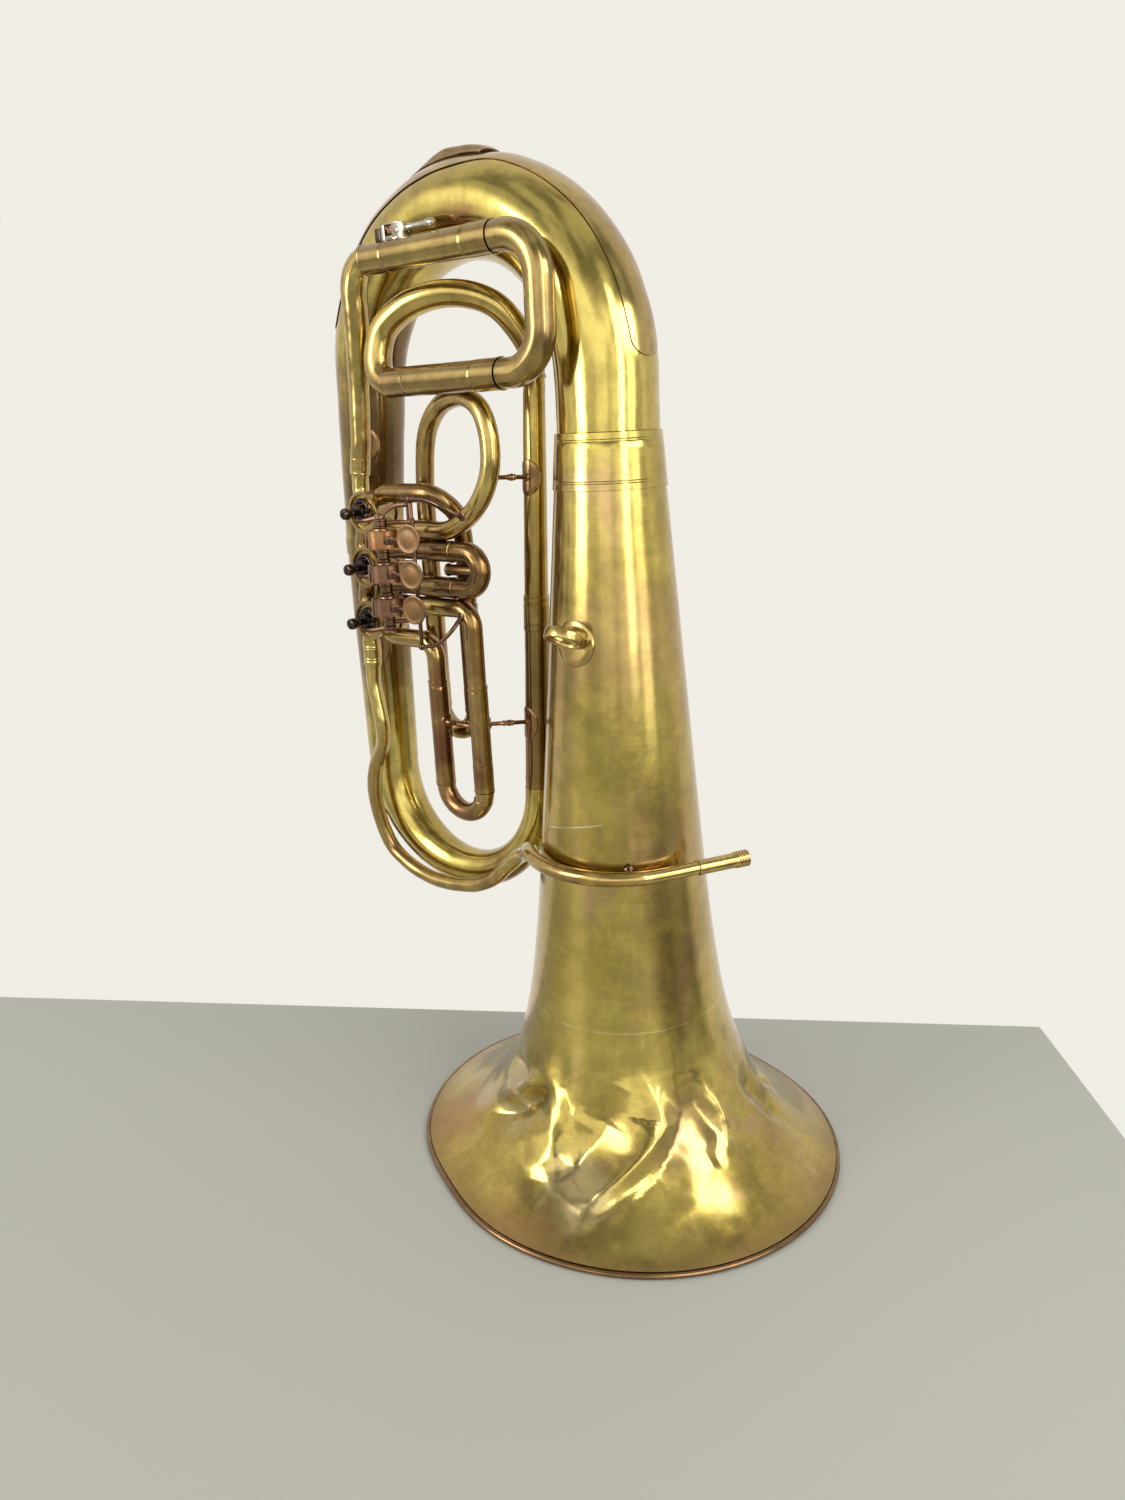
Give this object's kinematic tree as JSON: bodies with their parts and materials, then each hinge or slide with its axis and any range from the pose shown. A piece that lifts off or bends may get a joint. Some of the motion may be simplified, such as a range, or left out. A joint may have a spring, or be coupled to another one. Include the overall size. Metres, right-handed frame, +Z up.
{
  "type": "bass tuba",
  "caption": "Bass tuba with rotary valves worked by spring drum keys, standing on a wide bell, with bows, branches, leadpipe and slides that pull out.",
  "frame": {"origin": "on the floor, under the middle of the whole tuba, which stands on its bell", "axes": "+Z up, +X from the outer branch towards the bell, -Y towards the valves"},
  "size_m": [0.535, 0.3882, 0.8558],
  "materials": {
    "yellow_brass": "bare yellow brass, aged and unpolished, with bright wiped stretches",
    "dull_brass": "brown patina over brass",
    "red_brass": "reddish brown patina over brass",
    "dark_steel": "nearly black, oiled and dirty",
    "nickel_silver": "tarnished nickel silver"
  },
  "bodies": {
    "body": {"bearing_plate_1": "yellow_brass", "bearing_plate_2": "yellow_brass", "bearing_plate_3": "yellow_brass", "bell": "yellow_brass", "bell_ferrule": "yellow_brass", "bottom_bow": "yellow_brass", "bow_foot": "dull_brass", "bow_guard": "yellow_brass", "brace_lower": "yellow_brass", "brace_main_slide": "yellow_brass", "brace_outer_lower": "yellow_brass", "brace_outer_upper": "yellow_brass", "brace_slide_1": "red_brass", "brace_upper": "yellow_brass", "exit_tube": "yellow_brass", "inner_branch": "dull_brass", "inner_branch_ferrule": "yellow_brass", "key_axle": "red_brass", "key_frame": "red_brass", "leadpipe": "yellow_brass", "link_tube_12": "yellow_brass", "link_tube_23": "yellow_brass", "lyre_clamp": "nickel_silver", "main_slide_lower_sleeve": "yellow_brass", "main_slide_upper_sleeve": "yellow_brass", "outer_branch": "yellow_brass", "receiver": "yellow_brass", "rim_wire": "yellow_brass", "slide_1_lower_leg": "red_brass", "slide_1_upper_leg": "red_brass", "slide_2_lower_leg": "yellow_brass", "slide_2_upper_leg": "yellow_brass", "stay_lower": "red_brass", "stay_upper": "red_brass", "strap_ring": "yellow_brass", "third_loop": "yellow_brass", "third_return": "yellow_brass", "top_bow": "yellow_brass", "top_bow_guard": "dull_brass", "tuning_arc": "dull_brass", "valve_cap_1": "yellow_brass", "valve_cap_2": "yellow_brass", "valve_cap_3": "yellow_brass", "valve_casing_1": "yellow_brass", "valve_casing_2": "yellow_brass", "valve_casing_3": "yellow_brass"},
    "main_slide": {"main_slide_crook": "yellow_brass"},
    "slide_1": {"slide_crook_1": "red_brass"},
    "slide_2": {"slide_crook_2": "yellow_brass"},
    "slide_3": {"slide_crook_3": "dull_brass"},
    "lyre_screw": {"lyre_screw": "nickel_silver"},
    "rotor_1": {"rotor_1": "dark_steel"},
    "key_1": {"key_1": "red_brass"},
    "link_1": {"link_1": "red_brass"},
    "rotor_2": {"rotor_2": "dark_steel"},
    "key_2": {"key_2": "red_brass"},
    "link_2": {"link_2": "red_brass"},
    "rotor_3": {"rotor_3": "dark_steel"},
    "key_3": {"key_3": "red_brass"},
    "link_3": {"link_3": "red_brass"}
  },
  "joints": [
    {"name": "main_slide_pull", "type": "slide", "parent": "body", "child": "main_slide", "axis": [0.9986, 0, 0.0523], "range_m": [0, 0.06]},
    {"name": "slide_1_pull", "type": "slide", "parent": "body", "child": "slide_1", "axis": [0.0523, 0.0454, -0.9976], "range_m": [0, 0.04]},
    {"name": "slide_2_pull", "type": "slide", "parent": "body", "child": "slide_2", "axis": [0.9986, 0, 0.0523], "range_m": [0, 0.02]},
    {"name": "slide_3_pull", "type": "slide", "parent": "body", "child": "slide_3", "axis": [0.0523, 0.0454, -0.9976], "range_m": [0, 0.045]},
    {"name": "lyre_screw_turn", "type": "hinge", "parent": "body", "child": "lyre_screw", "pos_m": [-0.12227, -0.10024, 0.78748], "axis": [0.9986, 0, 0.0523], "range_deg": [-360, 0]},
    {"name": "key_1_press", "type": "hinge", "parent": "body", "child": "key_1", "pos_m": [-0.11707, -0.12292, 0.49323], "axis": [-0.0523, -0.0454, 0.9976], "range_deg": [0, 26], "stiffness_Nm_per_rad": 0.05, "springref_deg": -51.57},
    {"name": "rotor_1_turn", "type": "hinge", "parent": "body", "child": "rotor_1", "pos_m": [-0.17675, -0.07798, 0.47039], "axis": [-0.0024, 0.999, 0.0453], "range_deg": [0, 90]},
    {"name": "link_1_swing", "type": "hinge", "parent": "key_1", "child": "link_1", "pos_m": [-0.11032, -0.09599, 0.48049], "axis": [-0.0523, -0.0454, 0.9976], "range_deg": [-26, 0]},
    {"name": "key_2_press", "type": "hinge", "parent": "body", "child": "key_2", "pos_m": [-0.11853, -0.12419, 0.52117], "axis": [-0.0523, -0.0454, 0.9976], "range_deg": [0, 26], "stiffness_Nm_per_rad": 0.05, "springref_deg": -51.57},
    {"name": "rotor_2_turn", "type": "hinge", "parent": "body", "child": "rotor_2", "pos_m": [-0.17633, -0.08016, 0.51853], "axis": [-0.0024, 0.999, 0.0453], "range_deg": [0, 90]},
    {"name": "link_2_swing", "type": "hinge", "parent": "key_2", "child": "link_2", "pos_m": [-0.11283, -0.09817, 0.52848], "axis": [-0.0523, -0.0454, 0.9976], "range_deg": [-26, 0]},
    {"name": "key_3_press", "type": "hinge", "parent": "body", "child": "key_3", "pos_m": [-0.12, -0.12546, 0.5491], "axis": [-0.0523, -0.0454, 0.9976], "range_deg": [0, 26], "stiffness_Nm_per_rad": 0.05, "springref_deg": -51.57},
    {"name": "rotor_3_turn", "type": "hinge", "parent": "body", "child": "rotor_3", "pos_m": [-0.17591, -0.08235, 0.56668], "axis": [-0.0024, 0.999, 0.0453], "range_deg": [0, 90]},
    {"name": "link_3_swing", "type": "hinge", "parent": "key_3", "child": "link_3", "pos_m": [-0.11535, -0.10035, 0.57647], "axis": [-0.0523, -0.0454, 0.9976], "range_deg": [-26, 0]}
  ],
  "couplings": [
    {"joint": "rotor_1_turn", "follows": "key_1_press", "ratio": 3.4615},
    {"joint": "link_1_swing", "follows": "key_1_press", "ratio": -1},
    {"joint": "rotor_2_turn", "follows": "key_2_press", "ratio": 3.4615},
    {"joint": "link_2_swing", "follows": "key_2_press", "ratio": -1},
    {"joint": "rotor_3_turn", "follows": "key_3_press", "ratio": 3.4615},
    {"joint": "link_3_swing", "follows": "key_3_press", "ratio": -1}
  ]
}
